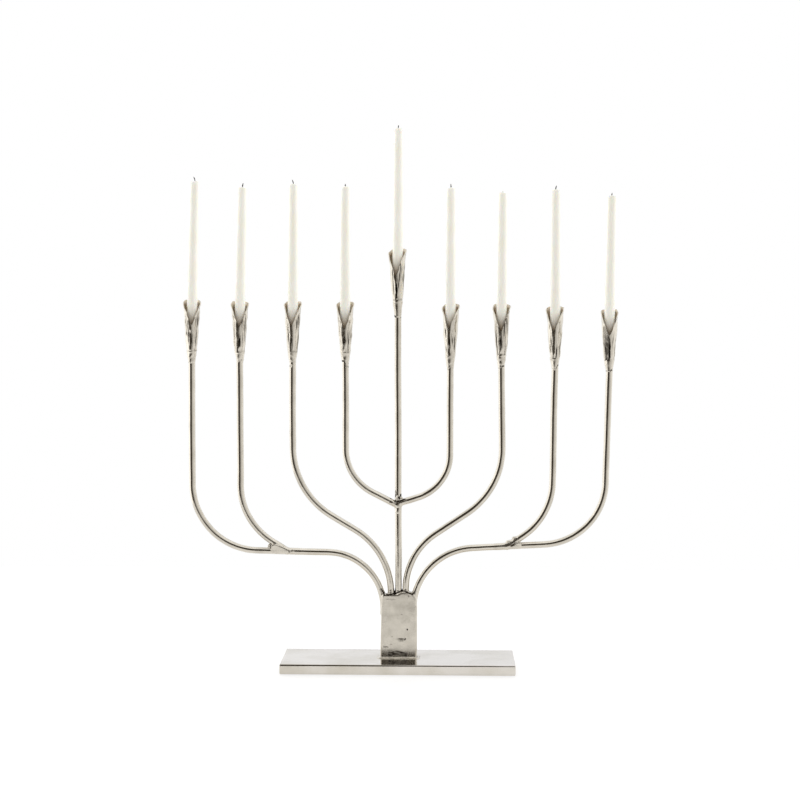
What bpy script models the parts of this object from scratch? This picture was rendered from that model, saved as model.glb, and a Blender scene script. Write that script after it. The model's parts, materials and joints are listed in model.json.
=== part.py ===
"""A nine-branch menorah: nickel rods and rolled lily cups on a flat bar base, with nine candles.

Frame: +X along the row of cups, -Y towards the front, +Z up. The origin is the middle of the
felt's underside, on the surface that the menorah stands on.
"""

import math

import bmesh
import bpy
from mathutils import Matrix, Vector

MM = 0.001

# Clearances
GAP = 0.3 * MM  # between pieces that touch
ROD_SPACING = 0.65 * MM  # between neighbouring rods where they enter the neck
CANDLE_FIT = 0.35 * MM  # radial, round a candle's foot in its cup
WICK_FIT = 0.35 * MM  # radial, round a wick in its bore

# Base
BASE_LENGTH = 222 * MM
BASE_DEPTH = 75 * MM
BASE_THICK = 9 * MM
BASE_EDGE = 0.6 * MM
FELT_THICK = 0.6 * MM
FELT_INSET = 3 * MM

# Rods and neck
ROD_RADIUS = 3.175 * MM
NECK_HEIGHT = 59 * MM
NECK_THICK = 10 * MM
NECK_MARGIN = 0.15 * MM  # the neck past its outer rods
NECK_EDGE = 0.6 * MM
SHOULDER_DROP = 14 * MM  # from the neck's top down to the shoulders under the outer rods
BEAD_HEIGHT = 3 * MM
FOOT_WELD_WIDTH = 2.8 * MM
FOOT_WELD_HEIGHT = 2.2 * MM

# Cups
CUP_PITCH = 49.8 * MM  # between neighbouring cups
ROW_RIM = 348.9 * MM  # rim of the eight cups
SERVANT_RIM = 400.1 * MM  # rim of the middle cup
CUP_HEIGHT = 49 * MM
CUP_WALL = 1 * MM
CUP_FLARE = 1.95 * MM  # mouth radius over the radius at the candle's foot
SEAT_DEPTH = 28 * MM  # rim down to the candle's foot
NOTCH_DEPTH = 22 * MM
NOTCH_HALF_ANGLE = 100
SEAM_TURN = 12  # the seam's turn from the front, towards -X
LAP_ANGLE = 24
LAP_BLEND_ANGLE = 60
COLLAR_HEIGHT = 9.5 * MM
COLLAR_TOE = 0.3 * MM  # the collar's thickness at its lower edge

# Candles
CANDLE_FOOT_RADIUS = 5.1 * MM
CANDLE_TOP_RADIUS = 4.1 * MM
CANDLE_SHOULDER = 1.8 * MM
WICK_RADIUS = 0.6 * MM

# Welds at the joins of the rods
WEB_LENGTH = 7 * MM
WEB_THICK = 4.5 * MM

# Worked out from the sizes above
BASE_BOTTOM = FELT_THICK + GAP
BASE_TOP = BASE_BOTTOM + BASE_THICK
NECK_BOTTOM = BASE_TOP + GAP
NECK_TOP = NECK_BOTTOM + NECK_HEIGHT
SHOULDER = NECK_TOP - SHOULDER_DROP
ROD_PITCH = 2 * ROD_RADIUS + ROD_SPACING
NECK_HALF = 2 * ROD_PITCH + ROD_RADIUS + NECK_MARGIN
TONGUE_HALF = ROD_PITCH + ROD_RADIUS + NECK_MARGIN
SEAT_RADIUS = CANDLE_FOOT_RADIUS + CANDLE_FIT + CUP_WALL
ROOT_RADIUS = ROD_RADIUS + GAP + CUP_WALL
MOUTH_RADIUS = SEAT_RADIUS + CUP_FLARE
BORE_RADIUS = WICK_RADIUS + WICK_FIT

# The arms, 1 to 9 from left to right, with what hand work leaves different on each: the cup's
# shift from its place in the row, the rim's rise over its height, the leans of cup and candle
# in degrees towards +X, the candle's height over the rim, and its wick's bend and height.
ARMS = {
    1: dict(shift=1.8, rise=2.7, cup_lean=0.2, candle_lean=1.5, candle=112.4, bend=-1.6, wick=4.4),
    2: dict(shift=-2.1, rise=1.4, cup_lean=-0.3, candle_lean=1.3, candle=108.1, bend=0.7, wick=4.4),
    3: dict(shift=-1.6, rise=1.8, cup_lean=0.0, candle_lean=0.4, candle=110.7, bend=-1.4, wick=4.2),
    4: dict(shift=-1.0, rise=1.1, cup_lean=-0.6, candle_lean=0.0, candle=108.9, bend=-0.2, wick=3.3),
    5: dict(shift=-1.1, rise=0.0, cup_lean=-1.0, candle_lean=0.2, candle=113.5, bend=0.3, wick=3.7),
    6: dict(shift=-0.9, rise=-0.6, cup_lean=0.1, candle_lean=0.0, candle=109.6, bend=-0.3, wick=4.3),
    7: dict(shift=-2.3, rise=-0.5, cup_lean=-0.4, candle_lean=0.3, candle=104.9, bend=-0.4, wick=1.6),
    8: dict(shift=-1.4, rise=-2.8, cup_lean=-0.5, candle_lean=-0.1, candle=110.0, bend=0.9, wick=4.2),
    9: dict(shift=0.1, rise=-5.6, cup_lean=-0.2, candle_lean=0.5, candle=107.2, bend=0.4, wick=3.1),
}

# The rods that rise from the neck, from slot -2 on the left to 2 on the right. Each bends out at
# its hip and up at its knee: (height, radius). The knee's drift is its place past its cup's.
NECK_RODS = {
    "outer_left_rod": dict(arm=1, slot=-2, hip=(109.6, 54.1), knee=(113.5, 63.5), drift=0.1),
    "inner_left_rod": dict(arm=3, slot=-1, hip=(111.7, 70.9), knee=(168.1, 75.8), drift=0.1),
    "inner_right_rod": dict(arm=7, slot=1, hip=(110.3, 64.3), knee=(171.1, 75.3), drift=1.7),
    "outer_right_rod": dict(arm=9, slot=2, hip=(112.6, 59.5), knee=(122.4, 61.1), drift=-3.9),
}

# The rods that leave an outer rod's run, their reach back from the knee, or the centre rod at a
# height, and bend up at a knee.
BRANCH_RODS = {
    "branch_left_rod": dict(
        arm=2, leaves="outer_left_rod", reach=44.6, knee_rise=28.7, radius=63.9, drift=0.3),
    "branch_right_rod": dict(
        arm=8, leaves="outer_right_rod", reach=42.0, knee_rise=28.3, radius=63.2, drift=-2.1),
}
CROSS_RODS = {
    "cross_left_rod": dict(arm=4, leaves=155.9, knee=181.1, radius=46.6, drift=0.5),
    "cross_right_rod": dict(arm=6, leaves=157.9, knee=173.2, radius=43.1, drift=-0.5),
}

ARC_STEP = math.radians(9)
ROD_BEVEL_RESOLUTION = 3
COPE_SIDES = 24
CUP_COLUMNS = 24
CUP_ROWS = 5
TURNED_STEPS = 14

NICKEL = dict(colour=(0.66, 0.63, 0.58), roughness=0.16, metallic=1.0)
WELD = dict(colour=(0.50, 0.47, 0.42), roughness=0.35, metallic=1.0)
WAX = dict(colour=(0.86, 0.84, 0.77), roughness=0.45, metallic=0.0)
COTTON = dict(colour=(0.06, 0.055, 0.05), roughness=0.9, metallic=0.0)
FELT = dict(colour=(0.03, 0.03, 0.032), roughness=1.0, metallic=0.0)


# Scene, finishes and small tools

for old in list(bpy.data.objects):
    bpy.data.objects.remove(old, do_unlink=True)

menorah = bpy.data.collections.new("menorah")
cutters = bpy.data.collections.new("cutters")
bpy.context.scene.collection.children.link(menorah)
bpy.context.scene.collection.children.link(cutters)


def finish(obj, look):
    """Gives the object a Principled material of its own."""
    material = bpy.data.materials.new(obj.name)
    material.use_nodes = True
    shader = material.node_tree.nodes["Principled BSDF"]
    shader.inputs["Base Color"].default_value = (*look["colour"], 1)
    shader.inputs["Roughness"].default_value = look["roughness"]
    shader.inputs["Metallic"].default_value = look["metallic"]
    obj.data.materials.append(material)
    return obj


def put(name, data, look=None, collection=menorah):
    """Links a new object of this data, with its finish."""
    obj = bpy.data.objects.new(name, data)
    collection.objects.link(obj)
    return finish(obj, look) if look else obj


def cutter(name, data):
    obj = put(name, data, collection=cutters)
    obj.hide_render = True
    obj.display_type = "WIRE"
    return obj


def box_mesh(name, low, high):
    """A box between two corners, from a cube primitive."""
    bm = bmesh.new()
    bmesh.ops.create_cube(bm, size=1)
    low, high = Vector(low), Vector(high)
    for vert in bm.verts:
        share = vert.co + Vector((0.5, 0.5, 0.5))
        vert.co = Vector(low[i] + (high[i] - low[i]) * share[i] for i in range(3))
    mesh = bpy.data.meshes.new(name)
    bm.to_mesh(mesh)
    bm.free()
    return mesh


def round_edges(obj, width, segments=2):
    bevel = obj.modifiers.new("rounded_edges", "BEVEL")
    bevel.width = width
    bevel.segments = segments
    bevel.limit_method = "ANGLE"


def subtract(obj, other):
    cut = obj.modifiers.new(other.name, "BOOLEAN")
    cut.operation = "DIFFERENCE"
    cut.object = other


def smooth(obj):
    obj.data.shade_smooth()
    obj.data.set_sharp_from_angle(angle=math.radians(40))


def as_mesh(curve, look):
    """The curve object as a mesh object of the same name, with its caps welded to its sides."""
    name, place = curve.name, curve.matrix_world.copy()
    graph = bpy.context.evaluated_depsgraph_get()
    mesh = bpy.data.meshes.new_from_object(curve.evaluated_get(graph))
    bpy.data.objects.remove(curve, do_unlink=True)
    bm = bmesh.new()
    bm.from_mesh(mesh)
    bmesh.ops.remove_doubles(bm, verts=bm.verts, dist=0.001 * MM)
    bm.to_mesh(mesh)
    bm.free()
    mesh.materials.clear()
    obj = put(name, mesh, look)
    obj.matrix_world = place
    return obj


# Routes in the menorah's plane, as (x, z) points

def bent(corners):
    """A route through corners of (x, z, radius), with an arc at each corner between the ends."""
    points = [Vector(corner[:2]) for corner in corners]
    route = [points[0]]
    for before, corner, after, (_, _, radius) in zip(points, points[1:], points[2:], corners[1:]):
        back, on = (before - corner).normalized(), (after - corner).normalized()
        half = back.angle(on) / 2
        centre = corner + (back + on).normalized() * radius / math.sin(half)
        start = corner + back * radius / math.tan(half) - centre
        turn = math.pi - 2 * half
        steps = math.ceil(turn / ARC_STEP)
        side = math.copysign(1, back.cross(on))
        for i in range(steps + 1):
            angle = -side * turn * i / steps
            route.append(centre + Matrix.Rotation(angle, 2) @ start)
    route.append(points[-1])
    return route


def cut_below(route, height):
    """The route from where it first passes the height, less what its tilted end would dip."""
    for i, (low, high) in enumerate(zip(route, route[1:])):
        if high.y > height:
            along = (high - low).normalized()
            start = height + ROD_RADIUS * abs(along.x)
            if high.y > start:
                return [low + along * (start - low.y) / along.y] + route[i + 1 :]
    return route


def rod_curve(name, route, look=NICKEL):
    """A round rod along a route, as a bevelled curve with filled caps."""
    data = bpy.data.curves.new(name, "CURVE")
    data.dimensions = "3D"
    data.bevel_depth = ROD_RADIUS
    data.bevel_resolution = ROD_BEVEL_RESOLUTION
    data.use_fill_caps = True
    spline = data.splines.new("POLY")
    spline.points.add(len(route) - 1)
    for point, (x, z) in zip(spline.points, route):
        point.co = (x, 0, z, 1)
    return put(name, data, look)


def place_of(arm):
    """Where the arm's cup stands: its x, and its rim's height."""
    rim = SERVANT_RIM if arm == 5 else ROW_RIM
    return (arm - 5) * CUP_PITCH + ARMS[arm]["shift"] * MM, rim + ARMS[arm]["rise"] * MM


def rod_end(arm):
    """The rod's last stretch: upright through its collar and cup, to just under the candle's foot."""
    x, rim = place_of(arm)
    entry = rim - CUP_HEIGHT - COLLAR_HEIGHT - ROD_RADIUS
    return Vector((x, entry)), Vector((x, rim - SEAT_DEPTH - GAP))


# Base and felt

felt_half = Vector((BASE_LENGTH / 2 - FELT_INSET, BASE_DEPTH / 2 - FELT_INSET))
put("base_felt", box_mesh("base_felt", (*-felt_half, 0), (*felt_half, FELT_THICK)), FELT)

base_half = Vector((BASE_LENGTH / 2, BASE_DEPTH / 2))
base = put("base_plate", box_mesh("base_plate", (*-base_half, BASE_BOTTOM), (*base_half, BASE_TOP)), NICKEL)
round_edges(base, BASE_EDGE)


# Neck: a flat slab with a shoulder under each outer rod and a tongue under the three others

def neck_outline(name, grow=0.0):
    """The slab's front outline, standing in the XZ plane, grown all round for a cutter."""
    sides = (
        (-NECK_HALF - grow, NECK_BOTTOM - grow),
        (NECK_HALF + grow, NECK_BOTTOM - grow),
        (NECK_HALF + grow, SHOULDER + grow),
        (TONGUE_HALF + grow, SHOULDER + grow),
        (TONGUE_HALF + grow, NECK_TOP + grow),
        (-TONGUE_HALF - grow, NECK_TOP + grow),
        (-TONGUE_HALF - grow, SHOULDER + grow),
        (-NECK_HALF - grow, SHOULDER + grow),
    )
    data = bpy.data.curves.new(name, "CURVE")
    data.dimensions = "2D"
    data.fill_mode = "BOTH"
    data.extrude = NECK_THICK / 2 + grow
    spline = data.splines.new("POLY")
    spline.points.add(len(sides) - 1)
    for point, (x, z) in zip(spline.points, sides):
        point.co = (x, z, 0, 1)
    spline.use_cyclic_u = True
    obj = put(name, data)
    obj.rotation_euler.x = math.pi / 2
    bpy.context.view_layer.update()
    return obj


neck = as_mesh(neck_outline("neck"), NICKEL)
round_edges(neck, NECK_EDGE)

foot_low = Vector((-NECK_HALF - FOOT_WELD_WIDTH, -NECK_THICK / 2 - FOOT_WELD_WIDTH, NECK_BOTTOM))
foot_high = Vector((-foot_low.x, -foot_low.y, NECK_BOTTOM + FOOT_WELD_HEIGHT))
foot_weld = put("neck_foot_weld", box_mesh("neck_foot_weld", foot_low, foot_high), WELD)
neck_room = Vector((NECK_HALF + GAP, NECK_THICK / 2 + GAP))
room_mesh = box_mesh("neck_room", (*-neck_room, BASE_BOTTOM), (*neck_room, NECK_TOP))
subtract(foot_weld, cutter("neck_room", room_mesh))

for side, name in ((-1, "neck_weld_front"), (1, "neck_weld_back")):
    near, far = sorted((side * (ROD_RADIUS + GAP), side * NECK_THICK / 2))
    bead_half = TONGUE_HALF - NECK_EDGE
    low = (-bead_half, near, NECK_TOP + GAP)
    high = (bead_half, far, NECK_TOP + GAP + BEAD_HEIGHT)
    round_edges(put(name, box_mesh(name, low, high), WELD), NECK_EDGE, segments=1)


# Rods out of the neck

runs = {}  # each bent rod's straight run, from hip to knee
for name, rod in NECK_RODS.items():
    foot_x = rod["slot"] * ROD_PITCH
    entry, top = rod_end(rod["arm"])
    hip = (foot_x, rod["hip"][0] * MM, rod["hip"][1] * MM)
    knee = (top.x + rod["drift"] * MM, rod["knee"][0] * MM, rod["knee"][1] * MM)
    runs[name] = (Vector(hip[:2]), Vector(knee[:2]))
    route = bent([(foot_x, BASE_TOP), hip, knee, entry]) + [top]
    seat = SHOULDER if abs(rod["slot"]) == 2 else NECK_TOP
    smooth(as_mesh(rod_curve(name, cut_below(route, seat + GAP)), NICKEL))

centre_foot = Vector((0, NECK_TOP + GAP))
centre_entry, centre_top = rod_end(5)
smooth(as_mesh(rod_curve("centre_rod", [centre_foot, centre_entry, centre_top]), NICKEL))


# Branches and cross arms, each coped round the rod that it leaves, with a weld web in the corner

def cope(obj, at, along):
    """Cuts the rod's end to fit round a parent rod that passes this point along this way."""
    bm = bmesh.new()
    radius = ROD_RADIUS + GAP
    length = 20 * ROD_RADIUS
    bmesh.ops.create_cone(
        bm, cap_ends=True, segments=COPE_SIDES, radius1=radius, radius2=radius, depth=length
    )
    mesh = bpy.data.meshes.new(obj.name + "_cope")
    bm.to_mesh(mesh)
    bm.free()
    round_cutter = cutter(obj.name + "_cope", mesh)
    round_cutter.location = (at.x, 0, at.y)
    round_cutter.rotation_euler.y = math.atan2(along.x, along.y)
    subtract(obj, round_cutter)


def weld_web(name, at, along, out):
    """A flat web in the corner between a parent rod and the rod that leaves it."""
    half = along.angle(out) / 2
    middle = (along + out).normalized()
    clear = ROD_RADIUS + GAP
    apex = at + middle * clear / math.sin(half)
    data = bpy.data.curves.new(name, "CURVE")
    data.dimensions = "2D"
    data.fill_mode = "BOTH"
    data.extrude = WEB_THICK / 2
    spline = data.splines.new("POLY")
    spline.points.add(2)
    for point, (x, z) in zip(spline.points, (apex, apex + along * WEB_LENGTH, apex + out * WEB_LENGTH)):
        point.co = (x, z, 0, 1)
    spline.use_cyclic_u = True
    obj = put(name, data)
    obj.rotation_euler.x = math.pi / 2
    bpy.context.view_layer.update()
    return as_mesh(obj, WELD)


def leaving_rod(name, arm, at, along, knee, radius):
    """A rod from a point on its parent's centre line, up at its knee and into its cup."""
    entry, top = rod_end(arm)
    route = bent([at, (*knee, radius), entry]) + [top]
    obj = as_mesh(rod_curve(name, route), NICKEL)
    smooth(obj)
    cope(obj, at, along)
    weld_web(name.replace("rod", "weld"), at, along, (knee - at).normalized())


for name, rod in BRANCH_RODS.items():
    hip, far = runs[rod["leaves"]]
    along = (far - hip).normalized()
    outward = math.copysign(1, along.x)
    knee_x = place_of(rod["arm"])[0] + rod["drift"] * MM
    at_x = knee_x - outward * rod["reach"] * MM
    at = hip + along * (at_x - hip.x) / along.x
    knee = Vector((knee_x, at.y + rod["knee_rise"] * MM))
    leaving_rod(name, rod["arm"], at, along, knee, rod["radius"] * MM)

for name, rod in CROSS_RODS.items():
    along = (centre_entry - centre_foot).normalized()
    at = centre_foot + along * (rod["leaves"] * MM - centre_foot.y) / along.y
    knee = Vector((place_of(rod["arm"])[0] + rod["drift"] * MM, rod["knee"] * MM))
    leaving_rod(name, rod["arm"], at, along, knee, rod["radius"] * MM)


# Cups: sheet rolled into a tall cone with its edges lapped at the front under an open notch

def cup_radius(depth):
    """Outer radius at a depth below the rim: the curve through mouth, candle seat and root."""
    seat, root = SEAT_DEPTH, CUP_HEIGHT
    mouth_share = (depth - seat) * (depth - root) / (seat * root)
    seat_share = depth * (depth - root) / (seat * (seat - root))
    root_share = depth * (depth - seat) / (root * (root - seat))
    return mouth_share * MOUTH_RADIUS + seat_share * SEAT_RADIUS + root_share * ROOT_RADIUS


def rolled_cup(name):
    """The sheet's outer face as a grid rolled up, thickened inwards. Its origin is its root's centre."""
    bm = bmesh.new()
    bmesh.ops.create_grid(bm, x_segments=CUP_COLUMNS, y_segments=CUP_ROWS, size=0.5)
    for vert in bm.verts:
        turn = (vert.co.x + 0.5) * (360 + LAP_ANGLE) - LAP_ANGLE / 2
        from_seam = min(abs(turn), abs(turn - 360)) / NOTCH_HALF_ANGLE
        notch = NOTCH_DEPTH * (1 - math.sin(math.pi / 2 * min(1, from_seam)))
        height = (CUP_HEIGHT - notch) * (vert.co.y + 0.5)
        blend = min(1, max(0, (LAP_BLEND_ANGLE - turn) / (LAP_BLEND_ANGLE - LAP_ANGLE / 2)))
        lap = (CUP_WALL + GAP) * blend * blend * (3 - 2 * blend)
        radius = cup_radius(CUP_HEIGHT - height) + lap
        angle = math.radians(turn - 90 - SEAM_TURN)
        vert.co = (radius * math.cos(angle), radius * math.sin(angle), height)
    mesh = bpy.data.meshes.new(name)
    bm.to_mesh(mesh)
    bm.free()
    return mesh


def turned(name, profile, look):
    """A ring or hollow bar turned about Z from a closed profile of (radius, z)."""
    mesh = bpy.data.meshes.new(name)
    count = len(profile)
    mesh.from_pydata([(r, 0, z) for r, z in profile], [(i, (i + 1) % count) for i in range(count)], [])
    obj = put(name, mesh, look)
    screw = obj.modifiers.new("turned", "SCREW")
    screw.steps = screw.render_steps = TURNED_STEPS
    screw.use_merge_vertices = True
    screw.merge_threshold = 0.01 * MM
    return obj


for arm, details in ARMS.items():
    x, rim = place_of(arm)
    root = rim - CUP_HEIGHT
    cup = put(f"cup_{arm}", rolled_cup(f"cup_{arm}"), NICKEL)
    cup.location = (x, 0, root)
    cup.rotation_euler.y = math.radians(details["cup_lean"])
    sheet = cup.modifiers.new("sheet", "SOLIDIFY")
    sheet.thickness = CUP_WALL
    sheet.offset = -1
    smooth(cup)

    bore = ROD_RADIUS + GAP
    collar_profile = (
        (ROOT_RADIUS, -GAP),
        ((ROOT_RADIUS + bore + COLLAR_TOE) / 2 + COLLAR_TOE / 2, -COLLAR_HEIGHT / 2),
        (bore + COLLAR_TOE, -COLLAR_HEIGHT),
        (bore, -COLLAR_HEIGHT),
        (bore, -GAP),
    )
    collar = turned(f"cup_weld_{arm}", collar_profile, WELD)
    collar.location = (x, 0, root)


# Candles and wicks: each stands on its rod's end, and its origin is its foot's centre

def wick_curve(name, length, bend, height):
    data = bpy.data.curves.new(name, "CURVE")
    data.dimensions = "3D"
    data.bevel_depth = WICK_RADIUS
    data.bevel_resolution = 2
    data.use_fill_caps = True
    tip_up = (
        (0, WICK_RADIUS),
        (0, length),
        (bend * 0.3, length + height * 0.5),
        (bend, length + height - WICK_RADIUS),
    )
    spline = data.splines.new("POLY")
    spline.points.add(len(tip_up) - 1)
    for point, (x, z) in zip(spline.points, tip_up):
        point.co = (x, 0, z, 1)
    return put(name, data, COTTON)


for arm, details in ARMS.items():
    x, rim = place_of(arm)
    cup_lean = math.radians(details["cup_lean"])
    seat_height = CUP_HEIGHT - SEAT_DEPTH
    length = details["candle"] * MM + SEAT_DEPTH
    candle_profile = (
        (BORE_RADIUS, length),
        (CANDLE_TOP_RADIUS - CANDLE_SHOULDER, length),
        (CANDLE_TOP_RADIUS - 0.3 * CANDLE_SHOULDER, length - 0.3 * CANDLE_SHOULDER),
        (CANDLE_TOP_RADIUS, length - CANDLE_SHOULDER),
        (CANDLE_FOOT_RADIUS, 0),
        (BORE_RADIUS, 0),
    )
    candle = turned(f"candle_{arm}", candle_profile, WAX)
    candle.location = (x + seat_height * math.sin(cup_lean), 0, rim - SEAT_DEPTH)
    candle.rotation_euler.y = math.radians(details["candle_lean"])
    wick = wick_curve(f"wick_{arm}", length, details["bend"] * MM, details["wick"] * MM)
    wick.parent = candle
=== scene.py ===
"""A nine-branch menorah: hand-forged, nickel-plated rods and rolled lily cups on a bar base, with
nine ivory taper candles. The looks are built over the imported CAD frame, in metres.
"""

import json
import math

import bpy
import numpy as np
from mathutils import Matrix, Vector

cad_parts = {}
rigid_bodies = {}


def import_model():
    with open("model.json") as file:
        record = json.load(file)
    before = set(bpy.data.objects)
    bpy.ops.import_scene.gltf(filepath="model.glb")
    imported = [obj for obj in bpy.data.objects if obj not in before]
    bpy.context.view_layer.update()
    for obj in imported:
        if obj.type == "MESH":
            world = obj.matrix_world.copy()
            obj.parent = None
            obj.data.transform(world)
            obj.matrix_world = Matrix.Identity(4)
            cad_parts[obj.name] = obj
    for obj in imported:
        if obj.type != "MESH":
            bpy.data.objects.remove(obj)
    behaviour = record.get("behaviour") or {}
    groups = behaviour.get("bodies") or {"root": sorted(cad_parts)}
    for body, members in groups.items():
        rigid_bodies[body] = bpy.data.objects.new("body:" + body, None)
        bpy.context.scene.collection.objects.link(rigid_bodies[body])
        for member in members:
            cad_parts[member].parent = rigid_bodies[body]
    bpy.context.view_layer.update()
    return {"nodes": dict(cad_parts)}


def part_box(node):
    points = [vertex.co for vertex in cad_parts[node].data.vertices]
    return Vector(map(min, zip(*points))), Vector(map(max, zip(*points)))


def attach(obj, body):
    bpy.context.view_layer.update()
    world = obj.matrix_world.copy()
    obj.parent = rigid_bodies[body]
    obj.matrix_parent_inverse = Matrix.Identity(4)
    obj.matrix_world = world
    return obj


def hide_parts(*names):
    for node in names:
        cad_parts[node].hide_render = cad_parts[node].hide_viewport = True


for startup in list(bpy.data.objects):
    bpy.data.objects.remove(startup, do_unlink=True)
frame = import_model()


# Felt pad: a thin sheet of dark wool felt, cut to the base's shape and glued under it, set in
# from its edges. The flat sheet of the frame has the right shape, so it only gets its cloth.

MM = 0.001


def colour(hexed):
    """Linear RGBA of an sRGB hex colour."""
    shares = [int(hexed[i : i + 2], 16) / 255 for i in (1, 3, 5)]
    return (*[s / 12.92 if s <= 0.04045 else ((s + 0.055) / 1.055) ** 2.4 for s in shares], 1)


def add(tree, kind, values=None, **settings):
    """A shader node. Values go to its inputs, by name or number: a socket is linked, a constant set."""
    node = tree.nodes.new("ShaderNode" + kind)
    stops = settings.pop("stops", ())
    for key, value in settings.items():
        setattr(node, key, value)
    for i, (place, value) in enumerate(stops):
        stop = node.color_ramp.elements[i] if i < 2 else node.color_ramp.elements.new(place)
        stop.position = place
        stop.color = value if len(value) == 4 else colour(value)
    for key, value in (values or {}).items():
        socket = node.inputs[key]
        if isinstance(value, bpy.types.NodeSocket):
            tree.links.new(value, socket)
        else:
            socket.default_value = value
    return node


def combine(tree, operation, *values):
    """The result of a maths operation on these values."""
    return add(tree, "Math", dict(enumerate(values)), operation=operation).outputs[0]


def noise(tree, place, size, detail, roughness=0.5):
    """Cloudy noise whose largest spots are about this size."""
    values = {"Vector": place, "Scale": 1 / size, "Detail": detail, "Roughness": roughness}
    return add(tree, "TexNoise", values).outputs[0]


def new_material(name):
    """A material with only its output, and its tree and object-space coordinates."""
    material = bpy.data.materials.new(name)
    material.use_nodes = True
    tree = material.node_tree
    for node in list(tree.nodes):
        if node.type != "OUTPUT_MATERIAL":
            tree.nodes.remove(node)
    return material, tree, add(tree, "TexCoord").outputs["Object"]


def surface(tree, values):
    """Gives the material a principled surface with these values."""
    shader = add(tree, "BsdfPrincipled", values)
    output = next(node for node in tree.nodes if node.type == "OUTPUT_MATERIAL")
    tree.links.new(shader.outputs[0], output.inputs["Surface"])


FELT_FIBRE = 0.8 * MM  # wool fibres are 0.02 mm thick, drawn coarser so that they show
FELT_FUZZ = 0.3 * MM

# Needled wool felt: matt, faintly furry, with lighter matted fibres.
felt, tree, place = new_material("needled_wool_felt")
fibres = noise(tree, place, FELT_FIBRE, 6.0, 0.7)
shade = add(tree, "ValToRGB", {"Fac": fibres}, stops=((0.3, "#1B1B1D"), (0.75, "#3A3A3D")))
bump = add(tree, "Bump", {"Height": fibres, "Strength": 0.6, "Distance": FELT_FUZZ})
surface(tree, {
    "Base Color": shade.outputs[0], "Roughness": 0.95, "Sheen Weight": 0.3, "Normal": bump.outputs[0],
})

pad = frame["nodes"]["base_felt"]
pad.data.materials.clear()
pad.data.materials.append(felt)


# Base: a flat bar of steel, ground, nickel plated and buffed along its length. Its edges are
# slightly rounded and its faces very slightly wavy, with fine buffing lines and stray scratches.

def waves(points, size, seed, count=7):
    """Smooth random waves at these points, about -1 to 1, with bumps about this size."""
    rng = np.random.default_rng(seed)
    total = np.zeros(points.shape[:-1])
    for _ in range(count):
        way = rng.normal(size=3)
        way *= rng.uniform(0.6, 1.5) * math.pi / size / np.linalg.norm(way)
        total += np.sin(points @ way + rng.uniform(0, 2 * math.pi))
    return total / math.sqrt(count)


def built(name, points, faces, material, slot, body="stand", **layers):
    """A smooth-shaded piece of these points and faces on its body, with layers of vertex values."""
    mesh = bpy.data.meshes.new(name)
    mesh.from_pydata(np.asarray(points).tolist(), [], [list(face) for face in faces])
    for layer, values in layers.items():
        store = mesh.attributes.new(layer, "FLOAT", "POINT").data
        store.foreach_set("value", np.asarray(values, np.float32))
    mesh.shade_smooth()
    mesh.materials.append(material)
    obj = bpy.data.objects.new(name, mesh)
    bpy.context.scene.collection.objects.link(obj)
    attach(obj, body)
    return obj


def smoothstep(low, high, value):
    """0 at low and 1 at high, with a soft start and end."""
    share = np.clip((value - low) / (high - low), 0, 1)
    return share * share * (3 - 2 * share)


CREVICE_REACH = 1.6 * MM  # how far out a surface looks for metal that faces it


def skinned(field, low, high, cell):
    """Points, faces and crevice depth of the closed surface where a distance field is zero."""
    low, high = np.array(low), np.array(high)
    counts = np.ceil((high - low) / cell).astype(int) + 1
    axes = [low[i] + cell * np.arange(counts[i]) for i in range(3)]
    values = field(np.stack(np.meshgrid(*axes, indexing="ij"), -1))
    cells = counts - 1
    total = np.zeros((*cells, 3))
    number = np.zeros(cells)
    for corner in np.ndindex(2, 2, 2):
        for axis in range(3):
            if corner[axis]:
                continue
            step = np.eye(3, dtype=int)[axis]
            here, there = (
                values[tuple(slice(c, c + n) for c, n in zip(at, cells))] for at in (corner, corner + step)
            )
            crossed = (here < 0) != (there < 0)
            share = here / np.where(crossed, here - there, 1)
            total += crossed[..., None] * (np.array(corner) + share[..., None] * step)
            number += crossed
    used = number > 0
    index = np.full(cells, -1)
    index[used] = np.arange(used.sum())
    points = low + cell * (np.argwhere(used) + total[used] / number[used][:, None])
    faces = []
    for axis in range(3):
        across, up, along = (np.eye(3, dtype=int)[(axis + i) % 3] for i in (1, 2, 0))
        start = tuple(slice(0 if i == axis else 1, n) for i, n in enumerate(cells))
        end = tuple(slice(1, n + (i == axis)) for i, n in enumerate(cells))
        inside, beyond = values[start] < 0, values[end] < 0
        for leaving in (True, False):
            edges = np.argwhere((inside != beyond) & (inside == leaving)) + 1 - along
            ring = [index[tuple((edges - back).T)] for back in (across + up, up, 0 * up, across)]
            faces.append(np.stack(ring if leaving else ring[::-1], 1))
    faces = np.concatenate(faces)
    nudge = 0.25 * cell
    slope = np.stack([field(points + nudge * way) - field(points - nudge * way) for way in np.eye(3)], 1)
    normal = slope / np.maximum(np.linalg.norm(slope, axis=1, keepdims=True), 1e-9)
    # The crevice depth is an occlusion estimate: how much metal faces a point within reach. The plated
    # materials paint shade from it.
    crevice = np.clip(1 - field(points + CREVICE_REACH * normal) / CREVICE_REACH, 0, 1)
    return points, faces, crevice


RAGGED = 0.55  # how far fine grain breaks up the edge of the painted shade and soot
SHADE_AND_SOOT_FROM, SHADE_AND_SOOT_TO = 0.22, 0.8  # the crevice values where the painted shade and soot start and are full
SOOT_ROUGHENS = 0.35
PLATE_RELIEF = 0.02 * MM


def fade(tree, value, start, end):
    """Goes softly from 0 to 1 as the value goes from start to end."""
    return add(tree, "MapRange", {0: value, 1: start, 2: end}, interpolation_type="SMOOTHSTEP").outputs[0]


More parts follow.
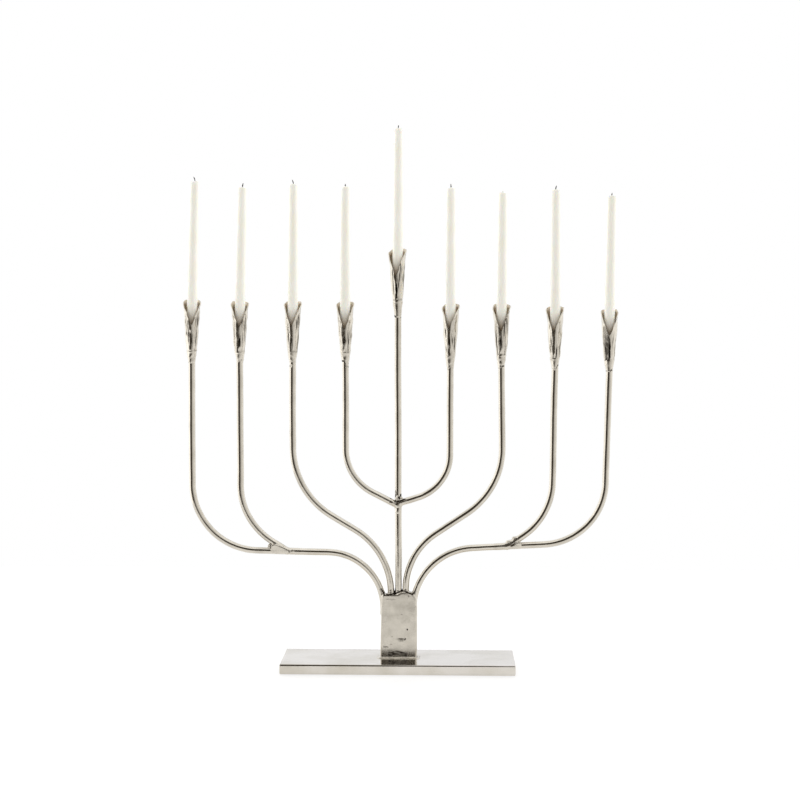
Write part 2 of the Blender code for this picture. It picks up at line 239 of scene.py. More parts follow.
def plated(name, tones, smooth, rough, grain, wave, dents=0.0, brushed=(1, 1, 1)):
    """Nickel plate, darkened by the crevice layer's painted shade and soot. Tones run from the dark of
    that shade and oxide to bright.
    """
    material, tree, place = new_material(name)
    shade_and_oxide, dull, bright = tones
    stretched = add(tree, "VectorMath", {0: place, 1: brushed}, operation="MULTIPLY").outputs[0]
    cloud = noise(tree, place, wave, 3.0)
    fine = noise(tree, stretched, grain, 5.0, 0.65)
    crevice = add(tree, "Attribute", attribute_name="crevice").outputs["Fac"]
    ragged = combine(tree, "MULTIPLY_ADD", fine, RAGGED, -0.27)
    # Painted shade: the crevice layer darkens the plate towards the dark tone. It stands for shade in
    # creases and for dark reflections as well as for soot.
    darkening = combine(tree, "ADD", crevice, ragged)
    dark_share = fade(tree, darkening, SHADE_AND_SOOT_FROM, SHADE_AND_SOOT_TO)
    worn = add(tree, "ValToRGB", {"Fac": cloud}, stops=((0.3, dull), (0.62, bright))).outputs[0]
    tone = add(tree, "Mix", {0: dark_share, 6: worn, 7: colour(shade_and_oxide)}, data_type="RGBA").outputs[2]
    polish = add(tree, "MapRange", {0: fine, 1: 0.3, 2: 0.75, 3: smooth, 4: rough}).outputs[0]
    gloss = combine(tree, "MULTIPLY_ADD", dark_share, SOOT_ROUGHENS, polish)
    relief = combine(tree, "MULTIPLY_ADD", cloud, dents, fine)
    bump = add(tree, "Bump", {"Height": relief, "Strength": 0.5, "Distance": PLATE_RELIEF})
    surface(tree, {
        "Base Color": tone, "Metallic": 1.0, "Roughness": gloss, "Normal": bump.outputs[0],
    })
    return material


NICKEL_TONES = ("#2A221A", "#C6C0B4", "#D4CEC2")
BUFFED_TONES = ("#2A221A", "#C9C3B6", "#DBD6CE")
BASE_EDGE = (0.6 * MM, 0.6 * MM, 2.9 * MM)  # how far the edges are eased: along, across and down
BASE_EDGE_RIGHT = 0.45  # share of that drop left at the right end, where the edge is crisper
BASE_STEP = 2.4 * MM
BASE_REST = 0.3 * MM
BASE_RIPPLE = 0.03 * MM
RIPPLE_TOP = 2.6  # the waves' highest, so that the ripple only goes inwards

# Nickel plate buffed lengthways: a clear but soft mirror, with hairlines along the bar. The
# hairlines are real ones of about 0.05 mm drawn ten times coarser.
buffed = plated(
    "nickel_plate_buffed_lengthways", BUFFED_TONES,
    smooth=0.07, rough=0.2, grain=0.5 * MM, wave=38 * MM, dents=2.0, brushed=(0.03, 1, 1),
)

low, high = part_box("base_plate")
low.z = BASE_REST  # down over the felt, so that only a thin shadow shows


def rounded_stops(start, end, inset, step):
    """Places along one side of a slab: close together on its rounded edges, evenly between them."""
    edge = inset * (1 - np.cos(np.linspace(0, math.pi / 2, 9)))
    middle = np.linspace(start + inset, end - inset, max(2, round((end - start - 2 * inset) / step)))
    return np.concatenate([start + edge[:-1], middle, end - edge[:-1][::-1]])


def slab(low, high, inset, step):
    """A slab with elliptical edges this far in on each axis, as six welded grids of points and faces."""
    stops = [rounded_stops(low[i], high[i], inset[i], step) for i in range(3)]
    index, points, faces = {}, [], []
    for axis in range(3):
        u, v = (axis + 1) % 3, (axis + 2) % 3
        for end in (0, 1):
            grid = {}
            for i, a in enumerate(stops[u]):
                for j, b in enumerate(stops[v]):
                    point = [0.0, 0.0, 0.0]
                    point[axis], point[u], point[v] = (low, high)[end][axis], a, b
                    key = tuple(round(c, 7) for c in point)
                    if key not in index:
                        index[key] = len(points)
                        points.append(point)
                    grid[i, j] = index[key]
            for i in range(len(stops[u]) - 1):
                for j in range(len(stops[v]) - 1):
                    ring = [grid[i, j], grid[i + 1, j], grid[i + 1, j + 1], grid[i, j + 1]]
                    faces.append(ring if end else ring[::-1])
    points = np.array(points)
    low, high, inset = np.array(low), np.array(high), np.array(inset)
    core = np.clip(points, low + inset, high - inset)
    out = (points - core) / inset
    length = np.linalg.norm(out, axis=1, keepdims=True)
    return core + inset * out / np.maximum(length, 1), faces


points, faces = slab(low, high, BASE_EDGE, BASE_STEP)
drop, edge = high.z - points[:, 2], BASE_EDGE[2]
crisp = 1 - (1 - BASE_EDGE_RIGHT) * (points[:, 0] - low.x) / (high.x - low.x)
rest = (high.z - low.z - edge * crisp) / (high.z - low.z - edge)
points[:, 2] = high.z - np.where(drop < edge, drop * crisp, edge * crisp + (drop - edge) * rest)
middle = (np.array(low) + high) / 2
inward = (points - middle) / (np.array(high) - low) * 2
ripple = BASE_RIPPLE * (waves(points, 30 * MM, seed=1) - RIPPLE_TOP)
points = points + inward * ripple[:, None] * (np.abs(inward) > 0.8)
base = built("base_plate_buffed", points, faces, buffed, "nickel", crevice=np.zeros(len(points)))
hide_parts("base_plate")


# Rods: 1/4 inch round iron bar, bent hot round a former, filed and plated. They follow the
# frame's rods, with the slightly uneven thickness and wander that hammer and file leave.

ROD_RADIUS = 3.175 * MM
ROD_SIDES = 28
ROD_STEP = 1.6 * MM
ROD_WANDER = 0.14 * MM
ROD_DENTS = 0.035 * MM
ROD_SWELLS = 0.012  # share of the radius
CUP_DEPTH = (-23 * MM, -19 * MM)  # down from a rod's top: inside its cup, darkened with painted shade and soot
RING_DIAMETERS = 2  # fewer than this meeting at a point isn't a ring
STRAIGHT = 1.6  # a segment this much longer than its neighbour is straight, not part of a bend
SUNK_FEET = dict(  # how far each foot runs down inside the neck, in mm
    centre_rod=12, inner_left_rod=12, inner_right_rod=12, outer_left_rod=3, outer_right_rod=5,
)

# Nickel plate polished by hand on bar stock: bright, a little uneven along its length.
hand_polished = plated(
    "nickel_plate_hand_polished", NICKEL_TONES,
    smooth=0.09, rough=0.24, grain=0.9 * MM, wave=14 * MM, dents=4.0,
)


def centre_line(node):
    """A frame rod's centre line as (x, z) points from the foot up: where its rings' diameters cross."""
    co = np.unique(np.round([v.co for v in frame["nodes"][node].data.vertices], 6), axis=0)
    a, b = np.triu_indices(len(co), 1)
    across = np.abs(np.linalg.norm(co[a] - co[b], axis=1) - 2 * ROD_RADIUS) < 0.01 * MM
    middles = (co[a] + co[b])[across & (np.abs(co[a] + co[b])[:, 1] < 0.01 * MM)][:, [0, 2]] / 2
    _, first, count = np.unique(
        np.round(middles / (0.05 * MM)), axis=0, return_index=True, return_counts=True)
    line = middles[first[count >= RING_DIAMETERS]]
    line = line[np.argsort(line[:, 1])]
    return line[np.insert(np.linalg.norm(np.diff(line, axis=0), axis=1) > 0.5 * MM, 0, True)]


def tangents(points):
    """The way along a line of arcs and straights, at each point."""
    chords = np.diff(points, axis=0)
    lengths = np.linalg.norm(chords, axis=1, keepdims=True)
    chords = chords / lengths
    ways = np.empty_like(points)
    for i in range(1, len(points) - 1):
        ratio = lengths[i - 1, 0] / lengths[i, 0]
        before = chords[i - 1] if ratio > 1 / STRAIGHT else 0
        after = chords[i] if ratio < STRAIGHT else 0
        ways[i] = (before + after) / np.linalg.norm(before + after)
    for end, inner, chord in ((0, 1, chords[0]), (-1, -2, chords[-1])):
        known = ways[inner] if len(points) > 2 else chord
        ways[end] = 2 * known.dot(chord) * chord - known
    return ways


def smooth_line(points, step):
    """The line resampled finely through its arcs and straights, as points and ways along."""
    ways = tangents(points)
    found = []
    for i in range(len(points) - 1):
        length = np.linalg.norm(points[i + 1] - points[i])
        for t in np.arange(0, 1, 1 / max(1, round(length / step))):
            a, b = 2 * t**3 - 3 * t**2 + 1, -2 * t**3 + 3 * t**2
            c, d = t**3 - 2 * t**2 + t, t**3 - t**2
            found.append(a * points[i] + b * points[i + 1] + length * (c * ways[i] + d * ways[i + 1]))
    found.append(points[-1])
    return np.array(found)


def circle(sides):
    """Angles evenly round a circle."""
    return np.linspace(0, 2 * math.pi, sides, endpoint=False)


def rings(count, sides):
    """Quads between rings of points stacked one on another, facing out where the rings go up."""
    index = np.arange(count * sides).reshape(count, sides)
    beside = np.roll(index, -1, axis=1)
    return np.stack([index[:-1], beside[:-1], beside[1:], index[1:]], -1).reshape(-1, 4)


def swept(line, radius, sides, y=0.0):
    """A capped round bar along (x, z) points, as points and faces. Radius is a number or one for each."""
    ways = np.gradient(line, axis=0)
    ways /= np.linalg.norm(ways, axis=1, keepdims=True)
    angle = circle(sides)
    across = np.cos(angle)[None, :] * np.broadcast_to(radius, len(line))[:, None]
    deep = np.sin(angle)[None, :] * np.broadcast_to(radius, len(line))[:, None]
    x = line[:, :1] - ways[:, 1:] * across
    z = line[:, 1:] + ways[:, :1] * across
    points = np.stack([x, y + deep, z], -1).reshape(-1, 3)
    ring = np.arange(sides)
    faces = rings(len(line), sides)[:, ::-1].tolist()
    return points, faces + [ring.tolist(), (ring + (len(line) - 1) * sides)[::-1].tolist()]


def reached(points, target, farthest):
    """The line with its foot run back, straight, to the nearest it comes to a target line."""
    way = tangents(points)[0]
    steps = np.arange(0, farthest, 0.4 * MM)
    back = points[0] - way * steps[:, None]
    gaps = [np.linalg.norm(target - point, axis=1).min() for point in back]
    return np.concatenate([back[int(np.argmin(gaps))][None], points])


lines = {
    name: centre_line(name) for name in (
        "centre_rod", "inner_left_rod", "inner_right_rod", "outer_left_rod", "outer_right_rod",
        "branch_left_rod", "branch_right_rod", "cross_left_rod", "cross_right_rod",
    )
}
neck_low, neck_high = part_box("neck")
for name, sunk_foot in SUNK_FEET.items():
    way = tangents(lines[name])[0]
    lines[name] = np.concatenate([[lines[name][0] - way * sunk_foot * MM], lines[name]])
for name, parent in (
    ("branch_left_rod", "outer_left_rod"), ("branch_right_rod", "outer_right_rod"),
    ("cross_left_rod", "centre_rod"), ("cross_right_rod", "centre_rod"),
):
    lines[name] = reached(lines[name], smooth_line(lines[parent], 0.5 * MM), 60 * MM)

for number, (name, line) in enumerate(lines.items()):
    line = smooth_line(line, ROD_STEP)
    spots = np.insert(line, 1, 0, axis=1)
    fixed = smoothstep(0, 30 * MM, line[:, 1] - line[0, 1])
    line = line + ROD_WANDER * fixed[:, None] * np.stack(
        [waves(spots, 45 * MM, seed=20 + number), 0.5 * waves(spots, 45 * MM, seed=40 + number)], 1)
    radius = ROD_RADIUS * (1 + ROD_SWELLS * waves(spots, 22 * MM, seed=60 + number))
    points, faces = swept(line, radius, ROD_SIDES)
    centre = np.repeat(np.insert(line, 1, 0, axis=1), ROD_SIDES, axis=0)
    out = (points - centre) / ROD_RADIUS
    points = points + out * (ROD_DENTS * waves(points, 5 * MM, seed=80 + number))[:, None]
    top = line[-1, 1]
    shade_and_soot_in_cup = smoothstep(*CUP_DEPTH, points[:, 2] - top)
    rod = built(name.replace("_rod", "_bar"), points, faces, hand_polished, "nickel", crevice=shade_and_soot_in_cup)
    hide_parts(name)


# Neck: a flat forged slab with the rods' feet drawn down into it, a scalloped weld along its top
# and a flared weld at its foot, ground flush and plated. All of it is one fused lump of metal.
# The shapes are run together as distance fields, and skinned once.

def rounded_rect(p, low, high, inset):
    """Distance to an upright rectangle of (x, z) corners with rounded corners, running along y."""
    middle = (np.array(low) + high) / 2
    q = np.abs(p[..., [0, 2]] - middle) - (np.array(high) - low) / 2 + inset
    return np.linalg.norm(np.maximum(q, 0), axis=-1) + np.minimum(q.max(-1), 0) - inset


def joined(a, b, blend):
    """Two distance fields run together, with a fillet of about this size."""
    share = np.clip(0.5 + 0.5 * (b - a) / blend, 0, 1)
    return b + (a - b) * share - blend * share * (1 - share)


def meeting(a, b, blend):
    """What two distance fields share, with a rounded edge of about this size."""
    return -joined(-a, -b, blend)


def bar(p, line, radius):
    """Distance to a round bar along (x, z) points, with a radius at each point."""
    radius = np.broadcast_to(radius, len(line))
    found = np.full(p.shape[:-1], 1.0)
    for (a, b), (ra, rb) in zip(zip(line, line[1:]), zip(radius, radius[1:])):
        way = np.array([b[0] - a[0], 0, b[1] - a[1]])
        off = p - np.array([a[0], 0, a[1]])
        share = np.clip(off @ way / (way @ way), 0, 1)
        gap = np.linalg.norm(off - share[..., None] * way, axis=-1) - (ra + share * (rb - ra))
        found = np.minimum(found, gap)
    return found


def lump(p, middle, size):
    """Distance, roughly, to an egg of these half sizes."""
    return (np.linalg.norm((p - np.array(middle)) / np.array(size), axis=-1) - 1) * min(size)


def groove(p, start, end, radius):
    """Distance to a round-ended cut between two points."""
    way = np.array(end) - start
    share = np.clip((p - np.array(start)) @ way / (way @ way), 0, 1)
    return np.linalg.norm(p - np.array(start) - share[..., None] * way, axis=-1) - radius


def nearby(line, middle, reach):
    """The stretch of a rod's line within reach of a point."""
    fine = smooth_line(line, 1.5 * MM)
    return fine[np.linalg.norm(fine - np.array(middle), axis=1) < reach]


def sunk(line, middle, full, reach):
    """A radius for each point that is proud of the rod near the middle and sinks into it by the reach."""
    away = np.linalg.norm(line - np.array(middle), axis=1)
    return ROD_RADIUS + 0.12 * MM - 0.5 * MM * smoothstep(full, reach, away)


NECK_CELL = 0.42 * MM
NECK_FACE = (neck_high[1] - neck_low[1]) / 2
NECK_LEFT = neck_low.x + 0.4 * MM
NECK_RIGHT = neck_high.x + 0.35 * MM
TALL_TOP = 4.6 * MM  # over the frame's neck, on the right
SHORT_TOP = 2.2 * MM  # over it, on the left
SHOULDER_DROP = 9 * MM  # how far below the neck's top its square sides begin
NECK_SUNK = 3 * MM  # how far the outline runs on down, past what is seen
LEFT_LEAN = 0.018  # the left edge leans in as it rises
NECK_EASE = 1.8 * MM  # the rounding of the slab's edges
FOOT_SPREAD = 3.4 * MM
FOOT_CORNER = 2.4 * MM
FOOT_HALF = 0.5 * MM
FOOT_FILLET = 1.3 * MM
PITS = ((8.7, 37.6, 0.6), (-6.0, 31.0, 0.3), (3.2, 52.5, 0.3))  # (x, z, radius) in mm
SCRATCHES = (  # (x, z) ends and radius in mm
    ((3.4, 26.3), (6.6, 27.6), 0.42), ((-14.5, 20.6), (-9.6, 20.2), 0.24),
    ((-8.0, 23.4), (-5.6, 23.3), 0.22),
)

# Nickel plate over filed and hammered weld metal: a soft mirror, cloudy, dark with painted shade in every
# crease.
filed = plated(
    "nickel_plate_filed_weld", NICKEL_TONES,
    smooth=0.14, rough=0.34, grain=0.7 * MM, wave=7 * MM, dents=5.0,
)

base_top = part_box("base_plate")[1].z
neck_top = neck_high.z
neck_rods = [nearby(lines[name], (0, neck_top), 32 * MM) for name in SUNK_FEET]


def neck_field(p):
    floor = base_top - NECK_SUNK
    tall = rounded_rect(p, (-3.5 * MM, base_top), (NECK_RIGHT, neck_top + TALL_TOP), 9.5 * MM)
    leaning = p + np.stack([-LEFT_LEAN * (p[..., 2] - base_top), 0 * p[..., 0], 0 * p[..., 0]], -1)
    short = rounded_rect(leaning, (NECK_LEFT, floor), (0, neck_top + SHORT_TOP), 2.6 * MM)
    low_left = rounded_rect(leaning, (NECK_LEFT, floor), (0, neck_top - SHOULDER_DROP), 1 * MM)
    low_right = rounded_rect(p, (-3 * MM, floor), (NECK_RIGHT, neck_top - SHOULDER_DROP), 1 * MM)
    face = np.abs(p[..., 1]) - NECK_FACE + 0.1 * MM - 0.08 * MM * waves(p, 16 * MM, seed=3)
    outline = joined(joined(tall, short, 1.2 * MM), np.minimum(low_left, low_right), 1 * MM)
    slab = meeting(outline, face, NECK_EASE)
    slab += 0.05 * MM * waves(p, 7 * MM, seed=4)
    for line in neck_rods:
        above = line[:, 1] - neck_top
        radius = ROD_RADIUS + 0.15 * MM - 0.6 * MM * smoothstep(2 * MM, 15 * MM, above)
        slab = joined(slab, bar(p, line, radius), 1.1 * MM)
    spread = np.array([neck_high.x + FOOT_SPREAD, NECK_FACE + FOOT_SPREAD])
    ragged = 0.5 * MM * waves(p, 5 * MM, seed=5)
    q = np.abs(p[..., :2]) - spread + FOOT_CORNER + ragged[..., None]
    rim = np.linalg.norm(np.maximum(q, 0), axis=-1) + np.minimum(q.max(-1), 0) - FOOT_CORNER
    foot = meeting(rim, np.abs(p[..., 2] - base_top) - FOOT_HALF, 0.6 * MM)
    body = joined(slab, foot, FOOT_FILLET)
    for x, z, size in PITS:
        body = np.maximum(body, -lump(p, (x * MM, -NECK_FACE, z * MM), (size * MM,) * 3))
    front = -NECK_FACE - 0.12 * MM
    for (xa, za), (xb, zb), size in SCRATCHES:
        cut = groove(p, (xa * MM, front, za * MM), (xb * MM, front, zb * MM), size * MM)
        body = meeting(body, -cut, 0.25 * MM)
    blob = lump(p, (3 * MM, -NECK_FACE + 0.2 * MM, 27.4 * MM), (3.2 * MM, 0.4 * MM, 0.9 * MM))
    return joined(body, blob, 0.5 * MM)


def with_painted_shade(points, crevice, shade_lines, origin=(0, 0), front=0.0, seed=7):
    """The crevice layer with lines of painted shade and painted dark reflection on the front: (x, z) ends,
    half width (mm) and strength.
    """
    flat = points[:, [0, 2]] - np.array(origin)
    ragged = 1 + 0.35 * waves(points, 1.6 * MM, seed)
    for start, end, width, strength in shade_lines:
        start, way = np.array(start) * MM, (np.array(end) - start) * MM
        share = np.clip((flat - start) @ way / max(way @ way, 1e-12), 0, 1)
        gap = np.linalg.norm(flat - start - share[:, None] * way, axis=1) / (width * MM)
        dark = strength * np.exp(-((gap * ragged) ** 2)) * (points[:, 1] < front)
        crevice = np.maximum(crevice, dark)
    return crevice


NECK_PAINTED_SHADE = (  # painted shade: the contact shadow along the weld's scalloped upper edge, faint shade below it, then shade in the pit and scratches on the face
    ((-16.4, 76.6), (-13.2, 70.4), 0.9, 1.0), ((-13.2, 70.2), (-2.6, 71.7), 0.9, 1.0),
    ((-2.6, 71.7), (3.0, 74.5), 0.9, 1.0), ((3.0, 74.5), (7.8, 73.6), 0.7, 0.8),
    ((7.8, 73.6), (13.8, 71.2), 0.9, 1.0), ((13.8, 71.2), (15.4, 74.2), 0.8, 0.8),
    ((-11.5, 66.6), (-3.0, 66.2), 1.2, 0.42), ((4.0, 71.8), (10.0, 70.2), 1.0, 0.42),
    ((0.2, 26.3), (6.0, 27.4), 0.35, 0.5), ((5.9, 27.4), (6.6, 28.8), 0.45, 0.95),
    ((-13.8, 21.2), (-9.8, 21.2), 0.4, 0.3), ((8.7, 37.5), (8.8, 37.7), 0.7, 1.0),
)
REFLECTION_BAND = ((-11.6, -9.6), (8.2, 10.4))  # the painted dark reflection band across the foot: where its ends fade, in mm
REFLECTION_BAND_RISE = ((1.2, 2.4), (5.4, 7.2))  # and where its lower and upper edges do, over the base

reach = FOOT_SPREAD + 1.5 * MM
points, faces, crevice = skinned(
    neck_field, (neck_low.x - reach, -NECK_FACE - reach, base_top - 1.2 * MM),
    (neck_high.x + reach, NECK_FACE + reach, neck_top + 19 * MM), NECK_CELL,
)
x, y, z = points.T / MM
# Painted reflection: a dark band across the foot, where the metal mirrors the dark side of the room.
above = z - base_top / MM + 0.7 * waves(points * (1, 1, 0), 4 * MM, seed=8)
reflection_band = smoothstep(*REFLECTION_BAND[0], x) * (1 - smoothstep(*REFLECTION_BAND[1], x)) * smoothstep(*REFLECTION_BAND_RISE[0], above)
reflection_band = reflection_band * (1 - smoothstep(*REFLECTION_BAND_RISE[1], above)) * (0.6 + 0.1 * waves(points, 2.2 * MM, seed=9))
crevice = np.maximum(with_painted_shade(points, crevice, NECK_PAINTED_SHADE), reflection_band)
neck = built("neck_forged", points, faces, filed, "nickel", crevice=crevice)
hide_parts("neck", "neck_foot_weld", "neck_weld_front", "neck_weld_back")


# Welds where the branches leave the outer rods: the acute corner is filled with weld metal and
# filed to a flat web, with a rough nugget at its outer end and a lumpy toe.

JOIN_CELL = 0.36 * MM
JOIN_SHADE = 0.45  # how much painted shade and soot a weld's own creases get
WEB_FRONT = 3.5 * MM
WEB_LEAN = 0.13  # the web's front leans out as it rises


def facing(p, corners, front, foot):
    """Distance to a plate with these (x, z) corners, in order round it, thicker towards its top."""
    middle = np.mean(corners, axis=0)
    found = np.abs(p[..., 1]) - front - WEB_LEAN * (p[..., 2] - foot)
    for a, b in zip(corners, np.roll(corners, -1, axis=0)):
        out = np.array([b[1] - a[1], a[0] - b[0]]) / np.linalg.norm(b - a)
        out = out if out @ (middle - a) < 0 else -out
        found = meeting(found, (p[..., [0, 2]] - a) @ out, 1.2 * MM)
    return found


def branch_join(name, branch, parent, web, lumps, pockets, shade_lines, seed):
    """The fused metal round a branch's start. Places are (along, up) from it in mm, along outwards.

    Lumps are (along, up, front, half sizes), pockets (along, up, radius), and lines of painted shade as
    for the neck.
    """
    start = lines[branch][0]
    side = math.copysign(1, start[0])
    limbs = [nearby(lines[branch], start, 24 * MM), nearby(lines[parent], start, 24 * MM)]

    def spot(along, up):
        return start + np.array([side * along, up]) * MM

    corners = np.array([spot(*corner) for corner in web])

    def field(p):
        found = facing(p, corners, WEB_FRONT, start[1])
        for limb in limbs:
            found = joined(found, bar(p, limb, sunk(limb, start, 9 * MM, 22 * MM)), 0.9 * MM)
        for along, up, front, size in lumps:
            x, z = spot(along, up)
            found = joined(found, lump(p, (x, -front * MM, z), np.array(size) * MM), 0.7 * MM)
            found = joined(found, lump(p, (x, front * MM, z), np.array(size) * MM), 0.7 * MM)
        for along, up, size in pockets:
            x, z = spot(along, up)
            found = meeting(found, -lump(p, (x, -WEB_FRONT, z), (size * MM,) * 3), 0.3 * MM)
        return found + 0.05 * MM * waves(p, 3.5 * MM, seed) + 0.08 * MM * waves(p, 9 * MM, seed + 1)

    low = np.array([start[0], 0, start[1]]) - np.array([25, 5.2, 9]) * MM
    high = np.array([start[0], 0, start[1]]) + np.array([25, 5.2, 20]) * MM
    points, faces, crevice = skinned(field, low, high, JOIN_CELL)
    shade_lines = [((side * a[0], a[1]), (side * b[0], b[1]), *size) for a, b, *size in shade_lines]
    crevice = with_painted_shade(points, JOIN_SHADE * crevice, shade_lines, start)
    join = built(name, points, faces, filed, "weld", crevice=crevice)
    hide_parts(branch.replace("rod", "weld"))


# The shade lines are painted: the branches' dark reflected lines carried on into the welds, and shade in
# their creases and pockets.
branch_join(
    "branch_left_fillet", "branch_left_rod", "outer_left_rod",
    web=((-6.0, -1.9), (15.0, -2.0), (15.4, 5.6), (11.5, 7.4), (-5.5, 0.4)),
    lumps=((17.0, 4.6, 1.4, (1.6, 1.9, 2.3)), (-5.8, 1.2, 1.8, (1.5, 1.5, 1.0))),
    pockets=((15.3, 6.4, 0.7), (-2.4, -0.2, 0.6)),
    shade_lines=(
        ((14.7, 10.9), (10.9, 7.8), 0.5, 0.5), ((10.9, 7.9), (10.8, 7.7), 0.9, 0.75),
        ((10.9, 7.8), (-2.4, 0.8), 0.45, 0.42), ((-1.9, 0.6), (-2.6, -0.4), 0.7, 0.7),
        ((18.8, 1.8), (19.0, 4.8), 0.5, 0.5), ((19.0, 4.8), (17.0, 7.6), 0.5, 0.5),
        ((15.0, 3.4), (15.2, 5.8), 0.5, 0.5),
    ), seed=101,
)
branch_join(
    "branch_right_fillet", "branch_right_rod", "outer_right_rod",
    web=((-4.0, -1.9), (12.8, -1.8), (13.2, 4.2), (11.0, 7.0), (7.4, 3.6), (-4.0, 0.0)),
    lumps=(
        (11.4, 6.2, 1.0, (1.3, 1.9, 1.8)), (4.2, 4.6, 0.0, (4.6, 2.8, 1.5)),
        (8.6, 8.2, 0.0, (3.6, 2.6, 1.4)),
    ),
    pockets=((12.0, 4.0, 0.5),),
    shade_lines=(
        ((12.6, 9.2), (7.1, 4.7), 0.4, 0.4), ((7.1, 4.7), (2.6, 3.3), 0.6, 0.8),
        ((2.6, 3.3), (-5.0, 1.0), 0.6, 0.75), ((11.8, 5.0), (12.2, 7.0), 0.4, 0.5),
        ((13.2, 2.4), (13.9, 4.2), 0.5, 0.5),
        ((4.6, 7.4), (6.4, 9.6), 0.4, 0.4), ((8.2, 9.8), (9.2, 11.6), 0.4, 0.4),
    ), seed=111,
)


# Weld where the two cross arms meet the centre rod: a hand-built knot of weld metal with facets,
# pockets darkened with painted shade and a small spur, and the arms' undersides drawn down into the rod.

cross_at = (lines["cross_left_rod"][0] + lines["cross_right_rod"][0]) / 2
cross_limbs = [
    nearby(lines[name], cross_at, 20 * MM) for name in ("centre_rod", "cross_left_rod", "cross_right_rod")
]
# Painted shade in the knot's own creases, and lines of painted shade and dark reflection: the arms'
# reflected dark lines run into the knot, and its pockets are shaded.
CROSS_SHADE = 0.6
CROSS_LUMPS = (  # (x, y, z) from the middle of the join and half sizes, in mm
    ((0.0, -1.4, 5.4), (3.3, 2.6, 3.9)), ((-1.0, -2.9, 7.6), (1.2, 1.4, 1.6)),
    ((3.2, -2.2, 6.0), (1.5, 1.9, 1.7)), ((-2.3, -1.8, 11.6), (0.8, 1.0, 3.4)),
    ((2.3, -1.2, 9.2), (1.0, 1.6, 2.2)), ((0.0, 0.0, -0.6), (3.7, 3.3, 5.2)),
    ((-3.0, 0.0, 1.4), (2.8, 2.9, 2.4)), ((3.0, 0.0, 1.6), (2.8, 2.9, 2.4)),
    ((0.0, 1.8, 5.2), (3.0, 2.4, 3.2)),
)
CROSS_POCKETS = (  # the same way, with a radius
    ((1.1, -4.4, 6.6), 1.1), ((-0.8, -4.6, 3.3), 1.2), ((-2.2, -3.8, 8.6), 0.9), ((2.6, -3.9, 8.6), 0.8),
)
CROSS_PAINTED_SHADE = (
    ((-14.0, 7.8), (-4.1, 5.2), 0.8, 0.95), ((-4.1, 5.2), (-1.8, 9.8), 0.8, 1.0),
    ((-2.8, 4.0), (-3.6, 5.2), 1.0, 1.0), ((1.1, 6.7), (2.8, 10.0), 0.7, 0.9),
    ((1.0, 6.7), (1.2, 6.4), 1.3, 1.0), ((-1.4, 3.2), (0.4, 3.4), 1.5, 1.0),
    ((0.4, 3.3), (5.2, 4.9), 1.0, 1.0), ((5.2, 4.9), (16.0, 8.2), 0.8, 0.95),
    ((-4.1, -1.2), (-4.3, -2.4), 0.7, 0.8), ((-0.4, 5.2), (1.6, 5.0), 0.8, 0.5),
    ((-3.3, 10.6), (-2.8, 12.6), 0.5, 0.5),
)


middle = np.array([cross_at[0], 0, cross_at[1]])


def cross_field(p):
    found = np.full(p.shape[:-1], 1.0)
    for limb in cross_limbs:
        found = joined(found, bar(p, limb, sunk(limb, cross_at, 5 * MM, 16 * MM)), 0.9 * MM)
    for place, size in CROSS_LUMPS:
        found = joined(found, lump(p, middle + np.array(place) * MM, np.array(size) * MM), 0.5 * MM)
    for place, size in CROSS_POCKETS:
        found = meeting(found, -lump(p, middle + np.array(place) * MM, (size * MM,) * 3), 0.3 * MM)
    return found + 0.16 * MM * waves(p, 2.6 * MM, seed=121)


reach = np.array([19, 5.4, 15]) * MM
points, faces, crevice = skinned(cross_field, middle - reach, middle + reach, JOIN_CELL)
crevice = with_painted_shade(points, CROSS_SHADE * crevice, CROSS_PAINTED_SHADE, cross_at)
knot = built("cross_knot", points, faces, filed, "weld", crevice=crevice)
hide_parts("cross_left_weld", "cross_right_weld")


# Cups: nickel-plated sheet, beaten thin, rolled up into a tall lily with its right edge lapped
# over its left at the front, an open V at the mouth and lips curled out. Each is a little different.

CUP_COLUMNS = 132
CUP_ROWS = 88
CUP_SHEET = 0.85 * MM
CUP_LAP = 12  # degrees past the seam, on each side
CUP_EDGE = 0.24 * MM
CUP_LIP = 0.45 * MM
CUP_DENTS = 0.24 * MM
CUP_SAG = 0.1 * MM
CUP_WAVY = 0.35 * MM  # the rim's unevenness
LAP_GAP = 0.25 * MM  # between the lapped edge and the sheet under it
BACK_DROP = 3.4 * MM  # the rim's fall from the back to the sides
CUP_PROFILE = ((0, 8.3), (4, 8.15), (12, 7.5), (21, 6.95), (30, 6.4), (38, 5.8), (44, 5.2), (49, 4.7))
CUP_BORE = 5.35 * MM  # kept clear round the candle's foot
CREASES = 11
LEFT_CREASES = 3
CREASE_WIDTH = 4.2  # degrees

